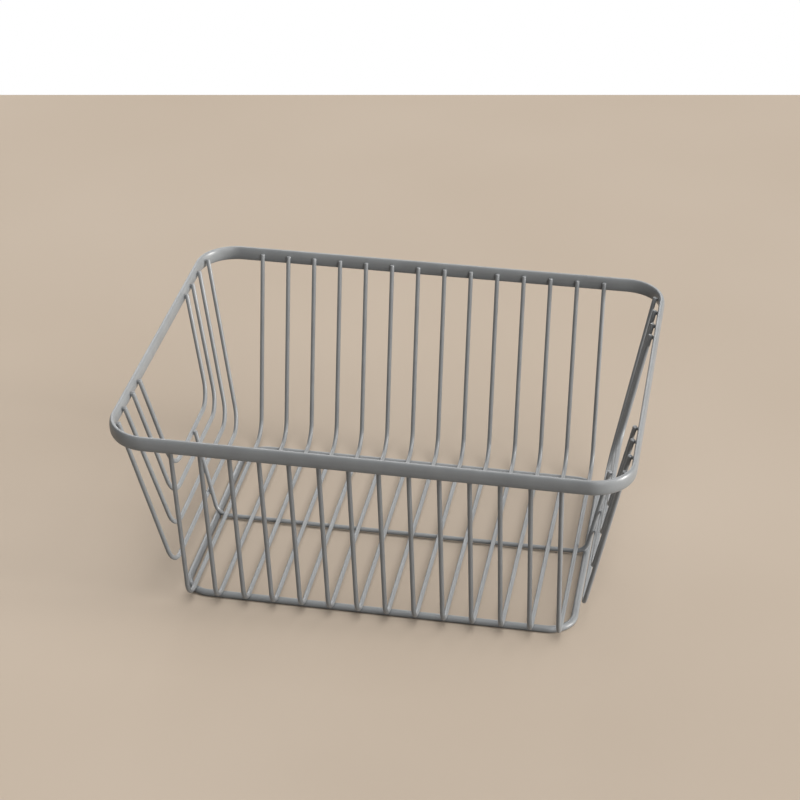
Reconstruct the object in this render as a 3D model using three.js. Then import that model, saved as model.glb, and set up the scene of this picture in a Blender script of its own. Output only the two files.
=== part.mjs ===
// Open wire basket of welded, powder-coated steel wire, in millimetres.
// X runs along the wide front, Y from front to back and Z up. The origin is on the floor,
// at the middle of the basket. Its front and back are alike, and so are its two sides.

import * as THREE from 'three';

// Welded pieces
const WELD_GAP = 0.3;
const WIRE_DIAMETER = 3.25;

// Rim: a bar with crowned faces, bent into a rounded rectangle. It is flat along the middle
// of each face and along its top and underside.
const RIM_WIDTH = 360;
const RIM_DEPTH = 287.5;
const RIM_TOP = 158.7;
const RIM_CORNER_RADIUS = 30.5;
const RIM_BAR_HEIGHT = 10.8;
const RIM_BAR_THICKNESS = 4.2;
const RIM_TOP_FLAT = 0.8;
const RIM_FACE_FLAT = 1;

// Base ring: a thicker round wire with a narrow worn flat. The walls lean outwards, so its
// centre line lies this far inside the rim's outside.
const RING_INSIDE_RIM_SIDE = 39.5;
const RING_INSIDE_RIM_FRONT = 46.25;
const RING_CORNER_RADIUS = 18.4;
const RING_DIAMETER = 5;
const RING_FLAT = 0.5;

// Long wires: down the front, across the floor and up the back
const LONG_WIRE_COUNT = 14;
const LAST_LONG_WIRE_INSIDE_RING = 7.9;
const LONG_CORNER_PAST_RING = 14.9;
const LONG_BEND_RADIUS = 17;
const WIRE_END_BELOW_RIM_TOP = 2.9;

// Side wires, from the outermost to the innermost. Each has a level run between two legs.
const SIDE_RUN_HEIGHT_SHARES = [0.144, 0.259, 0.38, 0.474];
const SIDE_RUN_LENGTH_SHARES = [0.994, 0.791, 0.648, 0.503];
const SIDE_END_SPREAD_SHARES = [0.847, 0.706, 0.565, 0.447];
const SIDE_BEND_RADIUS = 19.5;

// Cross wire: down inside one side, under the long wires and up inside the other
const CROSS_CORNER_INSIDE_RING = 0.9;
const CROSS_END_ABOVE_TOP_RUN = 2.6;

// Steps of the round shapes
const WIRE_SIDES = 10;
const BEND_STEPS = 6;
const LOOP_CORNER_STEPS = 10;
const EDGE_STEPS = 5;

// Powder coat
const COAT_COLOUR = 0x8f9192;
const COAT_ROUGHNESS = 0.4;
const COAT_METALNESS = 0;

// Heights and places that follow from the sizes above
const WIRE_RADIUS = WIRE_DIAMETER / 2;
const WIRE_STEP = WIRE_DIAMETER + WELD_GAP;
const RING_WIDTH = RIM_WIDTH - 2 * RING_INSIDE_RIM_SIDE;
const RING_DEPTH = RIM_DEPTH - 2 * RING_INSIDE_RIM_FRONT;
const RING_RADIUS = RING_DIAMETER / 2;
const WIRE_END_HEIGHT = RIM_TOP - WIRE_END_BELOW_RIM_TOP;
const FLOOR_HEIGHT = RING_DIAMETER + WELD_GAP + WIRE_RADIUS;
const CROSS_FLOOR_HEIGHT = FLOOR_HEIGHT - WIRE_STEP;

// The centre line of a bent wire: a station at each end of a straight run, and even
// steps round each bend
class WireLine extends THREE.Curve {
  constructor(stations) {
    super();
    this.stations = stations;
  }

  station(index) {
    const last = this.stations.length - 1;
    return this.stations[Math.min(Math.max(index, 0), last)];
  }

  indexAt(share) {
    return Math.round(share * (this.stations.length - 1));
  }

  getPointAt(share, target = new THREE.Vector3()) {
    return target.copy(this.station(this.indexAt(share)));
  }

  getTangentAt(share, target = new THREE.Vector3()) {
    const index = this.indexAt(share);
    const here = this.station(index);
    const arriving = here.clone().sub(this.station(index - 1)).normalize();
    const leaving = this.station(index + 1).clone().sub(here).normalize();
    return target.addVectors(arriving, leaving).normalize();
  }
}

function bendStations(before, corner, after, radius) {
  const back = before.clone().sub(corner).normalize();
  const onward = after.clone().sub(corner).normalize();
  const halfAngle = back.angleTo(onward) / 2;
  const inward = back.clone().add(onward).normalize();
  const centre = corner.clone().addScaledVector(inward, radius / Math.sin(halfAngle));
  const start = corner.clone().addScaledVector(back, radius / Math.tan(halfAngle));
  const spoke = start.sub(centre);
  const axis = onward.clone().cross(back).normalize();
  const turn = Math.PI - 2 * halfAngle;
  const stations = [];
  for (let step = 0; step <= BEND_STEPS; step += 1) {
    const turned = spoke.clone().applyAxisAngle(axis, turn * (step / BEND_STEPS));
    stations.push(turned.add(centre));
  }
  return stations;
}

// A wire with flat cut ends along straight runs from corner to corner
function wireGeometry(corners, bendRadius) {
  const stations = [corners[0]];
  for (let i = 1; i < corners.length - 1; i += 1) {
    stations.push(...bendStations(corners[i - 1], corners[i], corners[i + 1], bendRadius));
  }
  stations.push(corners[corners.length - 1]);
  const section = new THREE.Shape();
  section.absarc(0, 0, WIRE_RADIUS, 0, 2 * Math.PI);
  return new THREE.ExtrudeGeometry(section, {
    steps: stations.length - 1,
    curveSegments: WIRE_SIDES / 2,
    bevelEnabled: false,
    extrudePath: new WireLine(stations),
  });
}

function roundedRectangle(path, halfWidth, halfDepth, radius) {
  const across = halfWidth - radius;
  const along = halfDepth - radius;
  const quarter = Math.PI / 2;
  path.absarc(across, along, radius, 0, quarter);
  path.absarc(-across, along, radius, quarter, 2 * quarter);
  path.absarc(-across, -along, radius, 2 * quarter, 3 * quarter);
  path.absarc(across, -along, radius, 3 * quarter, 4 * quarter);
  return path;
}

// A closed rounded rectangle of bar. Its width, depth and corner radius are those of the
// bar's centre line. Quarter ellipses join its flats above and below to its flat faces.
function loopGeometry({ width, depth, cornerRadius, thickness, height, topFlat, faceFlat }) {
  const halfFlat = topFlat / 2;
  const halfWidth = width / 2;
  const halfDepth = depth / 2;
  const flat = roundedRectangle(
    new THREE.Shape(), halfWidth + halfFlat, halfDepth + halfFlat, cornerRadius + halfFlat);
  const opening = roundedRectangle(
    new THREE.Path(), halfWidth - halfFlat, halfDepth - halfFlat, cornerRadius - halfFlat);
  flat.holes.push(opening);
  return new THREE.ExtrudeGeometry(flat, {
    depth: faceFlat,
    steps: 1,
    curveSegments: LOOP_CORNER_STEPS / 2,
    bevelEnabled: true,
    bevelThickness: (height - faceFlat) / 2,
    bevelSize: (thickness - topFlat) / 2,
    bevelSegments: EDGE_STEPS,
  });
}

function coatedMesh(name, geometry) {
  const coat = new THREE.MeshStandardMaterial({
    color: COAT_COLOUR,
    roughness: COAT_ROUGHNESS,
    metalness: COAT_METALNESS,
  });
  const mesh = new THREE.Mesh(geometry, coat);
  mesh.name = name;
  return mesh;
}

function rim() {
  const mesh = coatedMesh('rim', loopGeometry({
    width: RIM_WIDTH - RIM_BAR_THICKNESS,
    depth: RIM_DEPTH - RIM_BAR_THICKNESS,
    cornerRadius: RIM_CORNER_RADIUS - RIM_BAR_THICKNESS / 2,
    thickness: RIM_BAR_THICKNESS,
    height: RIM_BAR_HEIGHT,
    topFlat: RIM_TOP_FLAT,
    faceFlat: RIM_FACE_FLAT,
  }));
  mesh.position.z = RIM_TOP - (RIM_BAR_HEIGHT + RIM_FACE_FLAT) / 2;
  return mesh;
}

function baseRing() {
  const mesh = coatedMesh('base_ring', loopGeometry({
    width: RING_WIDTH,
    depth: RING_DEPTH,
    cornerRadius: RING_CORNER_RADIUS,
    thickness: RING_DIAMETER,
    height: RING_DIAMETER,
    topFlat: RING_FLAT,
    faceFlat: RING_FLAT,
  }));
  mesh.position.z = (RING_DIAMETER - RING_FLAT) / 2;
  return mesh;
}

// The long wires stand side by side over the ring, and their ends meet the rim's inner face
function longWires() {
  const endY = RIM_DEPTH / 2 - RIM_BAR_THICKNESS - WELD_GAP - WIRE_RADIUS;
  const cornerY = RING_DEPTH / 2 + LONG_CORNER_PAST_RING;
  const corners = [
    new THREE.Vector3(0, -endY, WIRE_END_HEIGHT),
    new THREE.Vector3(0, -cornerY, FLOOR_HEIGHT),
    new THREE.Vector3(0, cornerY, FLOOR_HEIGHT),
    new THREE.Vector3(0, endY, WIRE_END_HEIGHT),
  ];
  const lastX = RING_WIDTH / 2 - LAST_LONG_WIRE_INSIDE_RING;
  const pitch = 2 * lastX / (LONG_WIRE_COUNT - 1);
  const group = new THREE.Group();
  for (let i = 0; i < LONG_WIRE_COUNT; i += 1) {
    const name = `long_wire_${String(i + 1).padStart(2, '0')}`;
    const mesh = coatedMesh(name, wireGeometry(corners, LONG_BEND_RADIUS));
    mesh.position.x = i * pitch - lastX;
    group.add(mesh);
  }
  return group;
}

// How far out a side wire's end lies: against the rim's inner face, which turns inwards
// where the rim's corner begins
function sideEndX(endY) {
  const reach = RIM_CORNER_RADIUS - RIM_BAR_THICKNESS - WELD_GAP - WIRE_RADIUS;
  const intoCorner = Math.max(0, endY - (RIM_DEPTH / 2 - RIM_CORNER_RADIUS));
  return RIM_WIDTH / 2 - RIM_CORNER_RADIUS + Math.sqrt(reach ** 2 - intoCorner ** 2);
}

// The corner of the cross wire's floor run, just inside the ring's centre line
const CROSS_CORNER_X = RING_WIDTH / 2 - CROSS_CORNER_INSIDE_RING;

// The side walls lean outwards so far that the cross wire, which lies against the inside of
// the side wires, comes down at that corner
function sideLean() {
  const across = sideEndX(0) - CROSS_CORNER_X;
  const up = WIRE_END_HEIGHT - CROSS_FLOOR_HEIGHT;
  return Math.atan2(across, up) - Math.asin(WIRE_STEP / Math.hypot(across, up));
}

const SIDE_LEAN = sideLean();

function sideRunX(height) {
  return sideEndX(0) - (WIRE_END_HEIGHT - height) * Math.tan(SIDE_LEAN);
}

// Four nested wires in the right-hand wall
function sideWires(label) {
  const group = new THREE.Group();
  SIDE_RUN_HEIGHT_SHARES.forEach((heightShare, i) => {
    const runHeight = WIRE_END_HEIGHT * heightShare;
    const runX = sideRunX(runHeight);
    const cornerY = RING_DEPTH * SIDE_RUN_LENGTH_SHARES[i] / 2;
    const endY = RIM_DEPTH * SIDE_END_SPREAD_SHARES[i] / 2;
    const endX = sideEndX(endY);
    const corners = [
      new THREE.Vector3(endX, -endY, WIRE_END_HEIGHT),
      new THREE.Vector3(runX, -cornerY, runHeight),
      new THREE.Vector3(runX, cornerY, runHeight),
      new THREE.Vector3(endX, endY, WIRE_END_HEIGHT),
    ];
    group.add(coatedMesh(`${label}_side_wire_${i + 1}`, wireGeometry(corners, SIDE_BEND_RADIUS)));
  });
  return group;
}

// The radius at which the cross wire's bend passes the ring's inner upper side with a weld
// gap: the bend's centre is then one bend radius, both half thicknesses and the gap away
// from the ring's centre line.
function crossBendRadius() {
  const tangentShare = 1 / Math.tan((Math.PI / 2 + SIDE_LEAN) / 2);
  const out = RING_WIDTH / 2 - CROSS_CORNER_X;
  const up = CROSS_FLOOR_HEIGHT - RING_RADIUS;
  const clear = RING_RADIUS + WIRE_RADIUS + WELD_GAP;
  const linear = out * tangentShare + up - clear;
  const constant = out ** 2 + up ** 2 - clear ** 2;
  const root = Math.sqrt(linear ** 2 - tangentShare ** 2 * constant);
  return (root - linear) / tangentShare ** 2;
}

function crossWire() {
  const topRunHeight = WIRE_END_HEIGHT * Math.max(...SIDE_RUN_HEIGHT_SHARES);
  const endHeight = topRunHeight + CROSS_END_ABOVE_TOP_RUN;
  const endX = CROSS_CORNER_X + (endHeight - CROSS_FLOOR_HEIGHT) * Math.tan(SIDE_LEAN);
  const corners = [
    new THREE.Vector3(-endX, 0, endHeight),
    new THREE.Vector3(-CROSS_CORNER_X, 0, CROSS_FLOOR_HEIGHT),
    new THREE.Vector3(CROSS_CORNER_X, 0, CROSS_FLOOR_HEIGHT),
    new THREE.Vector3(endX, 0, endHeight),
  ];
  return coatedMesh('cross_wire', wireGeometry(corners, crossBendRadius()));
}

const basket = new THREE.Group();
const leftSide = sideWires('left');
leftSide.rotation.z = Math.PI;
basket.add(rim());
basket.add(baseRing());
basket.add(longWires());
basket.add(leftSide);
basket.add(sideWires('right'));
basket.add(crossWire());

export default basket;
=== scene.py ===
import math

import bmesh
import bpy
from mathutils import Matrix, Quaternion, Vector

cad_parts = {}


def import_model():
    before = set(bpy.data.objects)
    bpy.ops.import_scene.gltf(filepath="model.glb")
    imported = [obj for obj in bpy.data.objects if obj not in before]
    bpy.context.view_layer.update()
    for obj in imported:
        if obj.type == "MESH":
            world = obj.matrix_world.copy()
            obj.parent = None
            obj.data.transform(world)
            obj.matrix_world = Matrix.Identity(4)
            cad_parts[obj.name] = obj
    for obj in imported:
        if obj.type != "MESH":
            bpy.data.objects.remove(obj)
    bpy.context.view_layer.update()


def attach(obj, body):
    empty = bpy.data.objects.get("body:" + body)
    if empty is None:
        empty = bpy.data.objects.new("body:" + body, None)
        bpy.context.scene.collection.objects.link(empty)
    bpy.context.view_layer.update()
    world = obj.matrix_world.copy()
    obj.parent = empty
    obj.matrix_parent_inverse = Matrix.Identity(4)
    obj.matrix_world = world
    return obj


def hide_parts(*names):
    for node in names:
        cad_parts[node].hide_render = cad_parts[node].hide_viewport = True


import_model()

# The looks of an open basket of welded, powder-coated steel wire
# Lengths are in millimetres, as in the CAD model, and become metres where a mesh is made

MM = 0.001

# Wire, and the gap that each weld fills
WELD_GAP = 0.3
WIRE_DIAMETER = 3.25

# Rim: a bar with crowned faces and narrow flats, bent into a rounded rectangle
RIM_WIDTH = 360
RIM_DEPTH = 287.5
RIM_TOP = 158.7
RIM_CORNER_RADIUS = 30.5
RIM_BAR_HEIGHT = 10.8
RIM_BAR_THICKNESS = 4.2
RIM_TOP_FLAT = 0.8
RIM_FACE_FLAT = 1

# Base ring: a thicker round wire, whose centre line lies this far inside the rim's outside
RING_INSIDE_RIM_SIDE = 39.5
RING_INSIDE_RIM_FRONT = 46.25
RING_CORNER_RADIUS = 18.4
RING_DIAMETER = 5

# Long wires: down the front, across the floor and up the back
LONG_WIRE_COUNT = 14
LAST_LONG_WIRE_INSIDE_RING = 7.9
LONG_CORNER_PAST_RING = 14.9
LONG_BEND_RADIUS = 17
WIRE_END_BELOW_RIM_TOP = 2.9

# Side wires, from the outermost to the innermost. Each has a level run between two legs.
SIDE_RUN_HEIGHT_SHARES = [0.144, 0.259, 0.38, 0.474]
SIDE_RUN_LENGTH_SHARES = [0.994, 0.791, 0.648, 0.503]
SIDE_END_SPREAD_SHARES = [0.847, 0.706, 0.565, 0.447]
SIDE_BEND_RADIUS = 19.5

# Cross wire: down inside one side, under the long wires and up inside the other
CROSS_CORNER_INSIDE_RING = 0.9
CROSS_END_ABOVE_TOP_RUN = 2.6

# Cut ends, rounded by the coat
END_ROUNDING = 0.8
END_DOME = 0.15

# Welds: coated fillets that reach to where the pieces stand this far apart
WELD_REACH_GAP = 1.15
WELD_LIMIT = 2.4
WELD_SINK = 0.06
WELD_ROOT_DEPTH = 0.5

# Welds at the wires' ends, which lie below the end and stop short of its rounding
TIP_WELD_BELOW_END = 2.1
TIP_WELD_REACH_UP = 1.3
TIP_WELD_REACH_DOWN = 3.6
TIP_WELD_REACH_ACROSS = 1.45

# Steps of the round shapes and the welds
WIRE_SIDES = 20
RING_SIDES = 32
BEND_STEPS = 16
LOOP_CORNER_STEPS = 28
EDGE_STEPS = 12
END_STEPS = 5
WELD_SIDES = 24
WELD_ROWS = 7
WELD_SEARCH_STEPS = 24

# Coat: its bumps go by metres, and its noise scales count per metre
COAT_DARK = (0.25, 0.26, 0.267)
COAT_LIGHT = (0.29, 0.301, 0.308)
COAT_DUST = (0.4, 0.41, 0.41)
COAT_SPECULAR = 0.65
COAT_METALNESS = 0
COAT_ROUGHNESS_LIMITS = (0.3, 0.4)
DUST_SHARE = 0.35
DUST_LIMITS = (0.66, 0.74)
NOISE_LIMITS = (0.3, 0.7)
WHOLE_RANGE = (0, 1)
MOTTLE = {"Scale": 55, "Detail": 3, "Roughness": 0.55}
DUST = {"Scale": 1900, "Detail": 2, "Roughness": 0.7}
SHEEN_CLOUD = {"Scale": 160, "Detail": 2, "Roughness": 0.6}
PEEL = {"Scale": 700, "Detail": 2, "Roughness": 0.5}
GRAIN = {"Scale": 3200, "Detail": 1, "Roughness": 0.5}
PEEL_BUMP = {"Strength": 0.35, "Distance": 0.00012}
GRAIN_BUMP = {"Strength": 0.35, "Distance": 0.00004}

# Floor
FLOOR_LIGHT = (0.58, 0.49, 0.4)
FLOOR_DEEP = (0.55, 0.46, 0.37)
FLOOR_BOUNCE = (0.1, 0.1, 0.1)
FLOOR_MOTTLE = {"Scale": 3, "Detail": 2, "Roughness": 0.5}
FLOOR_ROUGHNESS = 1
FLOOR_SPECULAR = 0

# Surroundings: places in metres, angles in radians and the lens in millimetres
CAMERA_PLACE = (0.24384, -1.34989, 0.94814)
CAMERA_TILT = 0.5433
CAMERA_YAW = 0.1785
CAMERA_LENS = 99.8417
SENSOR_WIDTH = 36
FLOOR_BACK = 0.83
FLOOR_REACH = 5
ROOM_STRENGTH = 0.03
WHITE = (1, 1, 1)
BACKDROP_LIMITS = (0.75, 0.95)

# Lamps: a low one from the right, a broad one from above, and weaker ones from behind and in front
LAMPS = [
    {"from": (1, -0.02, 0.11), "angle": 0.28, "power": 3, "colour": (1, 0.98, 0.95)},
    {"from": (0.42, -0.24, 1), "angle": 1, "power": 2.4, "colour": (1, 0.99, 0.98)},
    {"from": (-0.45, 1, 0.5), "angle": 0.9, "power": 1.2, "colour": WHITE},
    {"from": (0.5, -1, 0.3), "angle": 0.35, "power": 0.5, "colour": WHITE},
]

# Sizes and places that follow from those above
WIRE_RADIUS = WIRE_DIAMETER / 2
WIRE_STEP = WIRE_DIAMETER + WELD_GAP
RING_WIDTH = RIM_WIDTH - 2 * RING_INSIDE_RIM_SIDE
RING_DEPTH = RIM_DEPTH - 2 * RING_INSIDE_RIM_FRONT
RING_RADIUS = RING_DIAMETER / 2
WIRE_END_HEIGHT = RIM_TOP - WIRE_END_BELOW_RIM_TOP
RIM_MIDDLE = RIM_TOP - RIM_BAR_HEIGHT / 2
RIM_CROWN_OUT = (RIM_BAR_THICKNESS - RIM_TOP_FLAT) / 2
RIM_CROWN_UP = (RIM_BAR_HEIGHT - RIM_FACE_FLAT) / 2
FLOOR_HEIGHT = RING_DIAMETER + WELD_GAP + WIRE_RADIUS
CROSS_FLOOR_HEIGHT = FLOOR_HEIGHT - WIRE_STEP
CROSS_CORNER_X = RING_WIDTH / 2 - CROSS_CORNER_INSIDE_RING
QUARTER = math.pi / 2
UP = Vector((0, 0, 1))
BACK = Vector((0, 1, 0))
RIGHT = Vector((1, 0, 0))
CORNER_SIGNS = [(1, 1), (-1, 1), (-1, -1), (1, -1)]
ALONG_WELD = (1, 0)
ACROSS_WELD = (0, 1)
WELD_LIMITS = (WELD_LIMIT, WELD_LIMIT, WELD_LIMIT)
TIP_WELD_LIMITS = (TIP_WELD_REACH_DOWN, TIP_WELD_REACH_UP, TIP_WELD_REACH_ACROSS)


def side_end_x(end_y):
    """How far out a side wire's end lies: against the rim's inner face"""
    reach = RIM_CORNER_RADIUS - RIM_BAR_THICKNESS - WELD_GAP - WIRE_RADIUS
    into_corner = max(0, end_y - (RIM_DEPTH / 2 - RIM_CORNER_RADIUS))
    return RIM_WIDTH / 2 - RIM_CORNER_RADIUS + math.sqrt(reach ** 2 - into_corner ** 2)


def side_lean():
    """The side walls' lean, at which the cross wire inside them comes down at its corner"""
    across = side_end_x(0) - CROSS_CORNER_X
    up = WIRE_END_HEIGHT - CROSS_FLOOR_HEIGHT
    return math.atan2(across, up) - math.asin(WIRE_STEP / math.hypot(across, up))


SIDE_LEAN = side_lean()


def cross_bend_radius():
    """The radius at which the cross wire's bend passes the ring with a weld gap"""
    tangent_share = 1 / math.tan((QUARTER + SIDE_LEAN) / 2)
    out = RING_WIDTH / 2 - CROSS_CORNER_X
    up = CROSS_FLOOR_HEIGHT - RING_RADIUS
    clear = RING_RADIUS + WIRE_RADIUS + WELD_GAP
    linear = out * tangent_share + up - clear
    constant = out ** 2 + up ** 2 - clear ** 2
    root = math.sqrt(linear ** 2 - tangent_share ** 2 * constant)
    return (root - linear) / tangent_share ** 2


def turn_about_upright(mesh, turn):
    """Turns a mesh about the upright axis"""
    bmesh.ops.rotate(mesh, verts=mesh.verts, matrix=Matrix.Rotation(turn, 3, "Z"))


# Wires

def bend(before, corner, after, radius):
    """Points round the bend of a wire from one straight run to the next"""
    back = (before - corner).normalized()
    onward = (after - corner).normalized()
    half_angle = back.angle(onward) / 2
    inward = (back + onward).normalized()
    centre = corner + inward * (radius / math.sin(half_angle))
    spoke = corner + back * (radius / math.tan(half_angle)) - centre
    axis = onward.cross(back).normalized()
    turn = math.pi - 2 * half_angle
    points = []
    for step in range(BEND_STEPS + 1):
        points.append(centre + Quaternion(axis, turn * step / BEND_STEPS) @ spoke)
    return points


def bent_line(corners, radius):
    """The centre line of a wire with straight runs from corner to corner"""
    line = [corners[0]]
    for before, corner, after in zip(corners, corners[1:], corners[2:]):
        line.extend(bend(before, corner, after, radius))
    line.append(corners[-1])
    return line


def end_stations(end, inward):
    """The points and radii of a cut end: a slightly domed face with a rounded edge"""
    face = WIRE_RADIUS - END_ROUNDING
    stations = [(end, face / 2), (end + inward * END_DOME, face)]
    for step in range(1, END_STEPS + 1):
        angle = QUARTER * step / END_STEPS
        depth = END_DOME + (END_ROUNDING - END_DOME) * (1 - math.cos(angle))
        stations.append((end + inward * depth, face + END_ROUNDING * math.sin(angle)))
    return stations


def across_directions(points):
    """Two directions across the line at each point, turned as little as possible"""
    tangents = []
    for i, point in enumerate(points):
        arriving = (point - points[max(i - 1, 0)]).normalized()
        leaving = (points[min(i + 1, len(points) - 1)] - point).normalized()
        tangents.append((arriving + leaving).normalized())
    side = tangents[0].orthogonal().normalized()
    directions = []
    for i, tangent in enumerate(tangents):
        if i:
            side = tangents[i - 1].rotation_difference(tangent) @ side
        side = (side - tangent * side.dot(tangent)).normalized()
        directions.append((side, tangent.cross(side)))
    return directions


def add_rows(mesh, rows, closed=False):
    """Faces between rows of points, with a flat face at each open end"""
    made = []
    for row in rows:
        made.append([mesh.verts.new(point * MM) for point in row])
    pairs = list(zip(made, made[1:]))
    if closed:
        pairs.append((made[-1], made[0]))
    for lower, upper in pairs:
        for i in range(len(lower)):
            j = (i + 1) % len(lower)
            mesh.faces.new((lower[i], lower[j], upper[j], upper[i]))
    if not closed:
        mesh.faces.new(list(reversed(made[0])))
        mesh.faces.new(made[-1])


def add_wire(mesh, corners, bend_radius):
    """A round wire with rounded cut ends"""
    line = bent_line(corners, bend_radius)
    down = (line[1] - line[0]).normalized()
    back = (line[-2] - line[-1]).normalized()
    stations = end_stations(line[0], down)
    stations.extend((point, WIRE_RADIUS) for point in line[1:-1])
    stations.extend(reversed(end_stations(line[-1], back)))
    points = [point for point, radius in stations]
    rows = []
    for (point, radius), (side, up) in zip(stations, across_directions(points)):
        row = []
        for i in range(WIRE_SIDES):
            angle = math.tau * i / WIRE_SIDES
            row.append(point + side * (radius * math.cos(angle)) + up * (radius * math.sin(angle)))
        rows.append(row)
    add_rows(mesh, rows)


# Welds between two surfaces, each given by its drop away from the contact at a place (x, y)

def round_drop(radius, axis):
    """The drop of a round wire whose axis lies along a direction across the normal"""
    def drop(x, y):
        off = abs(x * axis[1] - y * axis[0])
        return radius - math.sqrt(max(radius ** 2 - off ** 2, 0))
    return drop


def crowned_drop(height, steepness):
    """The drop of the rim's crowned face from a height, which comes down with x by a steepness"""
    def drop(x, y):
        off = abs(height - x * steepness - RIM_MIDDLE) - RIM_FACE_FLAT / 2
        share = min(max(off / RIM_CROWN_UP, 0), 1)
        return RIM_CROWN_OUT * (1 - math.sqrt(1 - share ** 2))
    return drop


def leaning_drop(radius, slope):
    """The drop of a round wire that lies along x and leans away with it"""
    straight = round_drop(radius, ALONG_WELD)
    return lambda x, y: straight(x, y) + x * slope


def weld_reach(angle, gap, lower, upper, limits):
    """How far a weld reaches in a direction, until the pieces stand too far apart"""
    ahead, behind, across = limits
    along = ahead if math.cos(angle) > 0 else behind
    limit = 1 / math.hypot(math.cos(angle) / along, math.sin(angle) / across)
    low, high = 0, limit
    for _ in range(WELD_SEARCH_STEPS):
        middle = (low + high) / 2
        x, y = middle * math.cos(angle), middle * math.sin(angle)
        if gap + lower(x, y) + upper(x, y) < WELD_REACH_GAP:
            low = middle
        else:
            high = middle
    return low


def add_weld(mesh, place, normal, along, gap, lower, upper, limits=WELD_LIMITS):
    """A hollow-sided fillet along the normal from a lower surface to an upper one"""
    across = normal.cross(along)
    columns = []
    for i in range(WELD_SIDES):
        angle = math.tau * i / WELD_SIDES
        reach = weld_reach(angle, gap, lower, upper, limits)
        x, y = math.cos(angle), math.sin(angle)
        foot = -gap / 2 - lower(reach * x, reach * y)
        head = gap / 2 + upper(reach * x, reach * y)
        waist = min(WELD_REACH_GAP, head - foot) / 2
        column = [(WELD_SINK, -gap / 2 - WELD_ROOT_DEPTH), (reach, foot - WELD_SINK)]
        for row in range(WELD_ROWS):
            share = row / (WELD_ROWS - 1)
            inward = waist * math.sin(math.pi * share)
            column.append((reach - inward, foot + (head - foot) * share))
        column.extend([(reach, head + WELD_SINK), (WELD_SINK, gap / 2 + WELD_ROOT_DEPTH)])
        columns.append([place + (along * x + across * y) * out + normal * up for out, up in column])
    add_rows(mesh, [list(row) for row in zip(*columns)])


def add_tip_weld(mesh, end, down, outward):
    """The weld between a wire's end and the rim's inner face"""
    away = -down.dot(outward)
    along = (down - outward * down.dot(outward)).normalized()
    centre = end + down * TIP_WELD_BELOW_END
    gap = WELD_GAP + TIP_WELD_BELOW_END * away
    place = centre + outward * (WIRE_RADIUS + gap / 2)
    slope = away / math.sqrt(1 - away ** 2)
    face = crowned_drop(place.z, -along.z)
    wire = leaning_drop(WIRE_RADIUS, slope)
    add_weld(mesh, place, -outward, along, gap, face, wire, TIP_WELD_LIMITS)


# Loops

def loop_stations(half_width, half_depth, radius):
    """Points round a rounded rectangle, each with its outward direction"""
    stations = []
    for turn, (sign_x, sign_y) in enumerate(CORNER_SIGNS):
        centre = Vector((sign_x * (half_width - radius), sign_y * (half_depth - radius), 0))
        for step in range(LOOP_CORNER_STEPS + 1):
            angle = QUARTER * (turn + step / LOOP_CORNER_STEPS)
            outward = Vector((math.cos(angle), math.sin(angle), 0))
            stations.append((centre + outward * radius, outward))
    return stations


def add_loop(mesh, half_width, half_depth, radius, profile):
    """A closed loop of bar. Its profile's points give the way out and the height."""
    rows = []
    for point, outward in loop_stations(half_width, half_depth, radius):
        rows.append([point + outward * out + Vector((0, 0, height)) for out, height in profile])
    add_rows(mesh, rows, closed=True)


def rim_profile():
    """The rim bar's section: its flats, joined by quarter ellipses"""
    points = []
    for turn, (sign_out, sign_up) in enumerate(CORNER_SIGNS):
        out = sign_out * RIM_TOP_FLAT / 2
        up = RIM_MIDDLE + sign_up * RIM_FACE_FLAT / 2
        for step in range(EDGE_STEPS + 1):
            angle = QUARTER * (turn + step / EDGE_STEPS)
            points.append((out + RIM_CROWN_OUT * math.cos(angle), up + RIM_CROWN_UP * math.sin(angle)))
    return points


def round_profile(radius, sides):
    """A round wire's section, resting on the floor"""
    points = []
    for i in range(sides):
        angle = math.tau * i / sides
        points.append((radius * math.cos(angle), radius + radius * math.sin(angle)))
    return points


# Objects

def add_object(name, data):
    """A new object in the scene"""
    made = bpy.data.objects.new(name, data)
    bpy.context.scene.collection.objects.link(made)
    return made


def add_mesh(name, mesh, material):
    """A new object in the scene that shows a mesh in one material"""
    data = bpy.data.meshes.new(name)
    mesh.to_mesh(data)
    mesh.free()
    data.materials.append(material)
    return add_object(name, data)


# Pieces

def piece(name, mesh, material):
    """An object that stands for the CAD node of its name"""
    bmesh.ops.recalc_face_normals(mesh, faces=mesh.faces)
    made = add_mesh(f"{name}.coated", mesh, material)
    made.data.shade_smooth()
    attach(made, "root")
    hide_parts(name)


def rim(material):
    """The bar round the mouth"""
    mesh = bmesh.new()
    half_bar = RIM_BAR_THICKNESS / 2
    add_loop(mesh, RIM_WIDTH / 2 - half_bar, RIM_DEPTH / 2 - half_bar,
             RIM_CORNER_RADIUS - half_bar, rim_profile())
    piece("rim", mesh, material)


def base_ring(material):
    """The round wire that the basket stands on"""
    mesh = bmesh.new()
    profile = round_profile(RING_RADIUS, RING_SIDES)
    add_loop(mesh, RING_WIDTH / 2, RING_DEPTH / 2, RING_CORNER_RADIUS, profile)
    piece("base_ring", mesh, material)


def ring_crossing(x):
    """Where the ring's front centre line is at a place along the front, and its direction"""
    into_corner = max(0, abs(x) - (RING_WIDTH / 2 - RING_CORNER_RADIUS))
    inward = math.sqrt(RING_CORNER_RADIUS ** 2 - into_corner ** 2)
    y = -(RING_DEPTH / 2 - RING_CORNER_RADIUS) - inward
    direction = Vector((inward, math.copysign(into_corner, x), 0)).normalized()
    return y, direction


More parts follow.
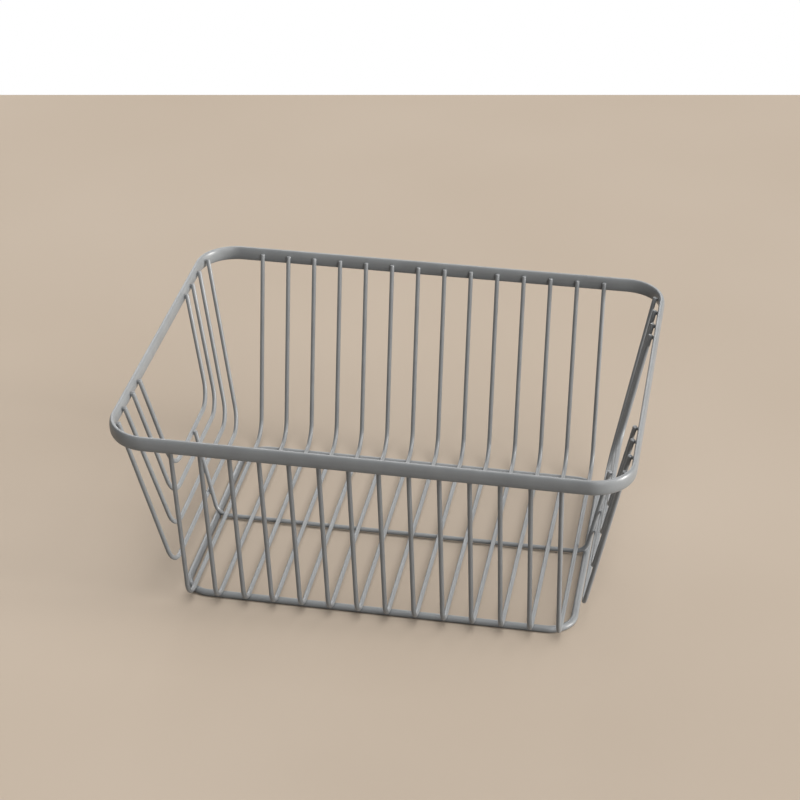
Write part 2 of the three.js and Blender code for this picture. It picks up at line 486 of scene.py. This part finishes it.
def long_wire(index, material):
    """A wire down the front, over the ring, across the floor and up the back"""
    last_x = RING_WIDTH / 2 - LAST_LONG_WIRE_INSIDE_RING
    x = last_x * (2 * index / (LONG_WIRE_COUNT - 1) - 1)
    end_y = RIM_DEPTH / 2 - RIM_BAR_THICKNESS - WELD_GAP - WIRE_RADIUS
    corner_y = RING_DEPTH / 2 + LONG_CORNER_PAST_RING
    corners = [
        Vector((x, -end_y, WIRE_END_HEIGHT)),
        Vector((x, -corner_y, FLOOR_HEIGHT)),
        Vector((x, corner_y, FLOOR_HEIGHT)),
        Vector((x, end_y, WIRE_END_HEIGHT)),
    ]
    mesh = bmesh.new()
    add_wire(mesh, corners, LONG_BEND_RADIUS)
    wire = round_drop(WIRE_RADIUS, ALONG_WELD)
    middle_height = RING_DIAMETER + WELD_GAP / 2
    ring_y, direction = ring_crossing(x)
    for sign in (-1, 1):
        tip, corner = (corners[0], corners[1]) if sign < 0 else (corners[3], corners[2])
        add_tip_weld(mesh, tip, (corner - tip).normalized(), BACK * sign)
        ring_axis = (-sign * direction.y, -direction.x)
        ring = round_drop(RING_RADIUS, ring_axis)
        place = Vector((x, -sign * ring_y, middle_height))
        add_weld(mesh, place, UP, BACK, WELD_GAP, ring, wire)
    cross = round_drop(WIRE_RADIUS, ACROSS_WELD)
    add_weld(mesh, Vector((x, 0, middle_height)), UP, BACK, WELD_GAP, cross, wire)
    piece(f"long_wire_{index + 1:02d}", mesh, material)


def rim_outward(end):
    """The way out through the rim at a side wire's end, which turns where its corner begins"""
    centre_y = RIM_DEPTH / 2 - RIM_CORNER_RADIUS
    centre_x = RIM_WIDTH / 2 - RIM_CORNER_RADIUS
    if abs(end.y) <= centre_y:
        return RIGHT
    return Vector((end.x - centre_x, end.y - math.copysign(centre_y, end.y), 0)).normalized()


def side_wire(label, index, turn, material):
    """A wire down a side, level and up again"""
    run_height = WIRE_END_HEIGHT * SIDE_RUN_HEIGHT_SHARES[index]
    run_x = side_end_x(0) - (WIRE_END_HEIGHT - run_height) * math.tan(SIDE_LEAN)
    corner_y = RING_DEPTH * SIDE_RUN_LENGTH_SHARES[index] / 2
    end_y = RIM_DEPTH * SIDE_END_SPREAD_SHARES[index] / 2
    end_x = side_end_x(end_y)
    corners = [
        Vector((end_x, -end_y, WIRE_END_HEIGHT)),
        Vector((run_x, -corner_y, run_height)),
        Vector((run_x, corner_y, run_height)),
        Vector((end_x, end_y, WIRE_END_HEIGHT)),
    ]
    mesh = bmesh.new()
    add_wire(mesh, corners, SIDE_BEND_RADIUS)
    for tip, corner in ((corners[0], corners[1]), (corners[3], corners[2])):
        add_tip_weld(mesh, tip, (corner - tip).normalized(), rim_outward(tip))
    inward = Vector((-math.cos(SIDE_LEAN), 0, math.sin(SIDE_LEAN)))
    upward = Vector((math.sin(SIDE_LEAN), 0, math.cos(SIDE_LEAN)))
    place = Vector((run_x, 0, run_height)) + inward * (WIRE_STEP / 2)
    run = round_drop(WIRE_RADIUS, ACROSS_WELD)
    cross = round_drop(WIRE_RADIUS, ALONG_WELD)
    add_weld(mesh, place, inward, upward, WELD_GAP, run, cross)
    turn_about_upright(mesh, turn)
    piece(f"{label}_side_wire_{index + 1}", mesh, material)


def cross_wire(material):
    """The wire across the middle, inside the side wires and the ring and under the long wires"""
    end_height = WIRE_END_HEIGHT * max(SIDE_RUN_HEIGHT_SHARES) + CROSS_END_ABOVE_TOP_RUN
    end_x = CROSS_CORNER_X + (end_height - CROSS_FLOOR_HEIGHT) * math.tan(SIDE_LEAN)
    corners = [
        Vector((-end_x, 0, end_height)),
        Vector((-CROSS_CORNER_X, 0, CROSS_FLOOR_HEIGHT)),
        Vector((CROSS_CORNER_X, 0, CROSS_FLOOR_HEIGHT)),
        Vector((end_x, 0, end_height)),
    ]
    radius = cross_bend_radius()
    mesh = bmesh.new()
    add_wire(mesh, corners, radius)
    bend_x = CROSS_CORNER_X - radius / math.tan((QUARTER + SIDE_LEAN) / 2)
    for sign in (-1, 1):
        ring_centre = Vector((sign * RING_WIDTH / 2, 0, RING_RADIUS))
        bend_centre = Vector((sign * bend_x, 0, CROSS_FLOOR_HEIGHT + radius))
        inward = (bend_centre - ring_centre).normalized()
        along = BACK.cross(inward)
        place = ring_centre + inward * (RING_RADIUS + WELD_GAP / 2)
        ring = round_drop(RING_RADIUS, ACROSS_WELD)
        wire = round_drop(WIRE_RADIUS, ALONG_WELD)
        add_weld(mesh, place, inward, along, WELD_GAP, ring, wire)
    piece("cross_wire", mesh, material)


# Materials

def shader(name):
    """A new material, with its nodes and its surface shader"""
    material = bpy.data.materials.new(name)
    material.use_nodes = True
    return material, material.node_tree.nodes["Principled BSDF"]


def noise(tree, place, settings):
    """A noise pattern at a place"""
    node = tree.nodes.new("ShaderNodeTexNoise")
    for socket, setting in settings.items():
        node.inputs[socket].default_value = setting
    tree.links.new(place, node.inputs["Vector"])
    return node.outputs["Fac"]


def spread(tree, value, limits, to_limits):
    """A value's range widened or narrowed to another"""
    node = tree.nodes.new("ShaderNodeMapRange")
    sockets = ("From Min", "From Max", "To Min", "To Max")
    for socket, limit in zip(sockets, (*limits, *to_limits)):
        node.inputs[socket].default_value = limit
    tree.links.new(value, node.inputs["Value"])
    return node.outputs["Result"]


def blend(tree, share, first, second):
    """A blend of two colours, each plain or from a node"""
    node = tree.nodes.new("ShaderNodeMix")
    node.data_type = "RGBA"
    tree.links.new(share, node.inputs["Factor"])
    for socket, colour in (("A", first), ("B", second)):
        target = next(s for s in node.inputs if s.name == socket and s.type == "RGBA")
        if isinstance(colour, tuple):
            target.default_value = (*colour, 1)
        else:
            tree.links.new(colour, target)
    return next(s for s in node.outputs if s.type == "RGBA")


def arithmetic(tree, operation, first, second):
    """One operation on two values"""
    node = tree.nodes.new("ShaderNodeMath")
    node.operation = operation
    tree.links.new(first, node.inputs[0])
    tree.links.new(second, node.inputs[1])
    return node.outputs["Value"]


def bump(tree, height, settings, under=None):
    """Bumps from a pattern of heights, on top of others where they are given"""
    node = tree.nodes.new("ShaderNodeBump")
    for socket, setting in settings.items():
        node.inputs[socket].default_value = setting
    tree.links.new(height, node.inputs["Height"])
    if under is not None:
        tree.links.new(under, node.inputs["Normal"])
    return node.outputs["Normal"]


def ray_kinds(tree):
    """Whether a ray comes from the camera, and whether off a glossy surface or through a clear one"""
    path = tree.nodes.new("ShaderNodeLightPath").outputs
    mirrored = arithmetic(tree, "MAXIMUM", path["Is Glossy Ray"], path["Is Transmission Ray"])
    return path["Is Camera Ray"], mirrored


def powder_coat():
    """Satin grey powder coat: soft mottling, fine grain, an orange-peel skin and a little dust"""
    material, surface = shader("coated_steel")
    tree = material.node_tree
    place = tree.nodes.new("ShaderNodeTexCoord").outputs["Object"]
    mottle = spread(tree, noise(tree, place, MOTTLE), NOISE_LIMITS, WHOLE_RANGE)
    colour = blend(tree, mottle, COAT_DARK, COAT_LIGHT)
    specks = spread(tree, noise(tree, place, DUST), DUST_LIMITS, (0, DUST_SHARE))
    colour = blend(tree, specks, colour, COAT_DUST)
    tree.links.new(colour, surface.inputs["Base Color"])
    cloud = spread(tree, noise(tree, place, SHEEN_CLOUD), NOISE_LIMITS, COAT_ROUGHNESS_LIMITS)
    tree.links.new(cloud, surface.inputs["Roughness"])
    peel = bump(tree, noise(tree, place, PEEL), PEEL_BUMP)
    grain = bump(tree, noise(tree, place, GRAIN), GRAIN_BUMP, peel)
    tree.links.new(grain, surface.inputs["Normal"])
    surface.inputs["Metallic"].default_value = COAT_METALNESS
    surface.inputs["Specular IOR Level"].default_value = COAT_SPECULAR
    return material


def floor_finish():
    """A pale floor that throws little light back up at the basket"""
    material, surface = shader("plain_floor")
    tree = material.node_tree
    place = tree.nodes.new("ShaderNodeTexCoord").outputs["Object"]
    mottle = spread(tree, noise(tree, place, FLOOR_MOTTLE), NOISE_LIMITS, WHOLE_RANGE)
    pale = blend(tree, mottle, FLOOR_LIGHT, FLOOR_DEEP)
    direct, mirrored = ray_kinds(tree)
    seen = arithmetic(tree, "MAXIMUM", direct, mirrored)
    tree.links.new(blend(tree, seen, FLOOR_BOUNCE, pale), surface.inputs["Base Color"])
    surface.inputs["Roughness"].default_value = FLOOR_ROUGHNESS
    surface.inputs["Specular IOR Level"].default_value = FLOOR_SPECULAR
    return material


# Surroundings

def camera():
    """The camera at the photograph's viewing angle"""
    data = bpy.data.cameras.new("camera")
    data.sensor_width = SENSOR_WIDTH
    data.lens = CAMERA_LENS
    made = add_object("camera", data)
    made.location = CAMERA_PLACE
    made.rotation_euler = (QUARTER - CAMERA_TILT, 0, CAMERA_YAW)
    bpy.context.scene.camera = made


def floor():
    """A plain floor that ends behind the basket, square to the camera"""
    mesh = bmesh.new()
    corners = [(-FLOOR_REACH, -FLOOR_REACH), (FLOOR_REACH, -FLOOR_REACH),
               (FLOOR_REACH, FLOOR_BACK), (-FLOOR_REACH, FLOOR_BACK)]
    mesh.faces.new([mesh.verts.new((x, y, 0)) for x, y in corners])
    turn_about_upright(mesh, CAMERA_YAW)
    add_mesh("floor", mesh, floor_finish())


def lamp(settings):
    """A distant soft lamp, so that the floor is evenly lit"""
    data = bpy.data.lights.new("lamp", "SUN")
    data.angle = settings["angle"]
    data.energy = settings["power"]
    data.color = settings["colour"]
    made = add_object("lamp", data)
    made.rotation_euler = (-Vector(settings["from"])).to_track_quat("-Z", "Y").to_euler()


def backdrop_share(tree):
    """How far a ray from the basket goes towards the white backdrop behind the floor's end"""
    direction = tree.nodes.new("ShaderNodeTexCoord").outputs["Generated"]
    towards = tree.nodes.new("ShaderNodeVectorMath")
    towards.operation = "DOT_PRODUCT"
    towards.inputs[1].default_value = (-math.sin(CAMERA_YAW), math.cos(CAMERA_YAW), 0)
    tree.links.new(direction, towards.inputs[0])
    return spread(tree, towards.outputs["Value"], BACKDROP_LIMITS, WHOLE_RANGE)


def world():
    """A dim room with a white backdrop, seen past the floor and reflected from behind the basket"""
    made = bpy.data.worlds.new("studio")
    made.use_nodes = True
    tree = made.node_tree
    room = tree.nodes["Background"]
    room.inputs["Color"].default_value = (*WHITE, 1)
    room.inputs["Strength"].default_value = ROOM_STRENGTH
    white = tree.nodes.new("ShaderNodeBackground")
    white.inputs["Color"].default_value = (*WHITE, 1)
    direct, mirrored = ray_kinds(tree)
    mirrored = arithmetic(tree, "MULTIPLY", mirrored, backdrop_share(tree))
    seen = arithmetic(tree, "MAXIMUM", direct, mirrored)
    mix = tree.nodes.new("ShaderNodeMixShader")
    tree.links.new(seen, mix.inputs["Fac"])
    tree.links.new(room.outputs["Background"], mix.inputs[1])
    tree.links.new(white.outputs["Background"], mix.inputs[2])
    tree.links.new(mix.outputs["Shader"], tree.nodes["World Output"].inputs["Surface"])
    bpy.context.scene.world = made


camera()
world()
for lamp_settings in LAMPS:
    lamp(lamp_settings)
floor()
bpy.context.scene.view_settings.view_transform = "Standard"

coat = powder_coat()
rim(coat)
base_ring(coat)
for wire_index in range(LONG_WIRE_COUNT):
    long_wire(wire_index, coat)
for side_label, side_turn in (("left", math.pi), ("right", 0)):
    for wire_index in range(len(SIDE_RUN_HEIGHT_SHARES)):
        side_wire(side_label, wire_index, side_turn, coat)
cross_wire(coat)
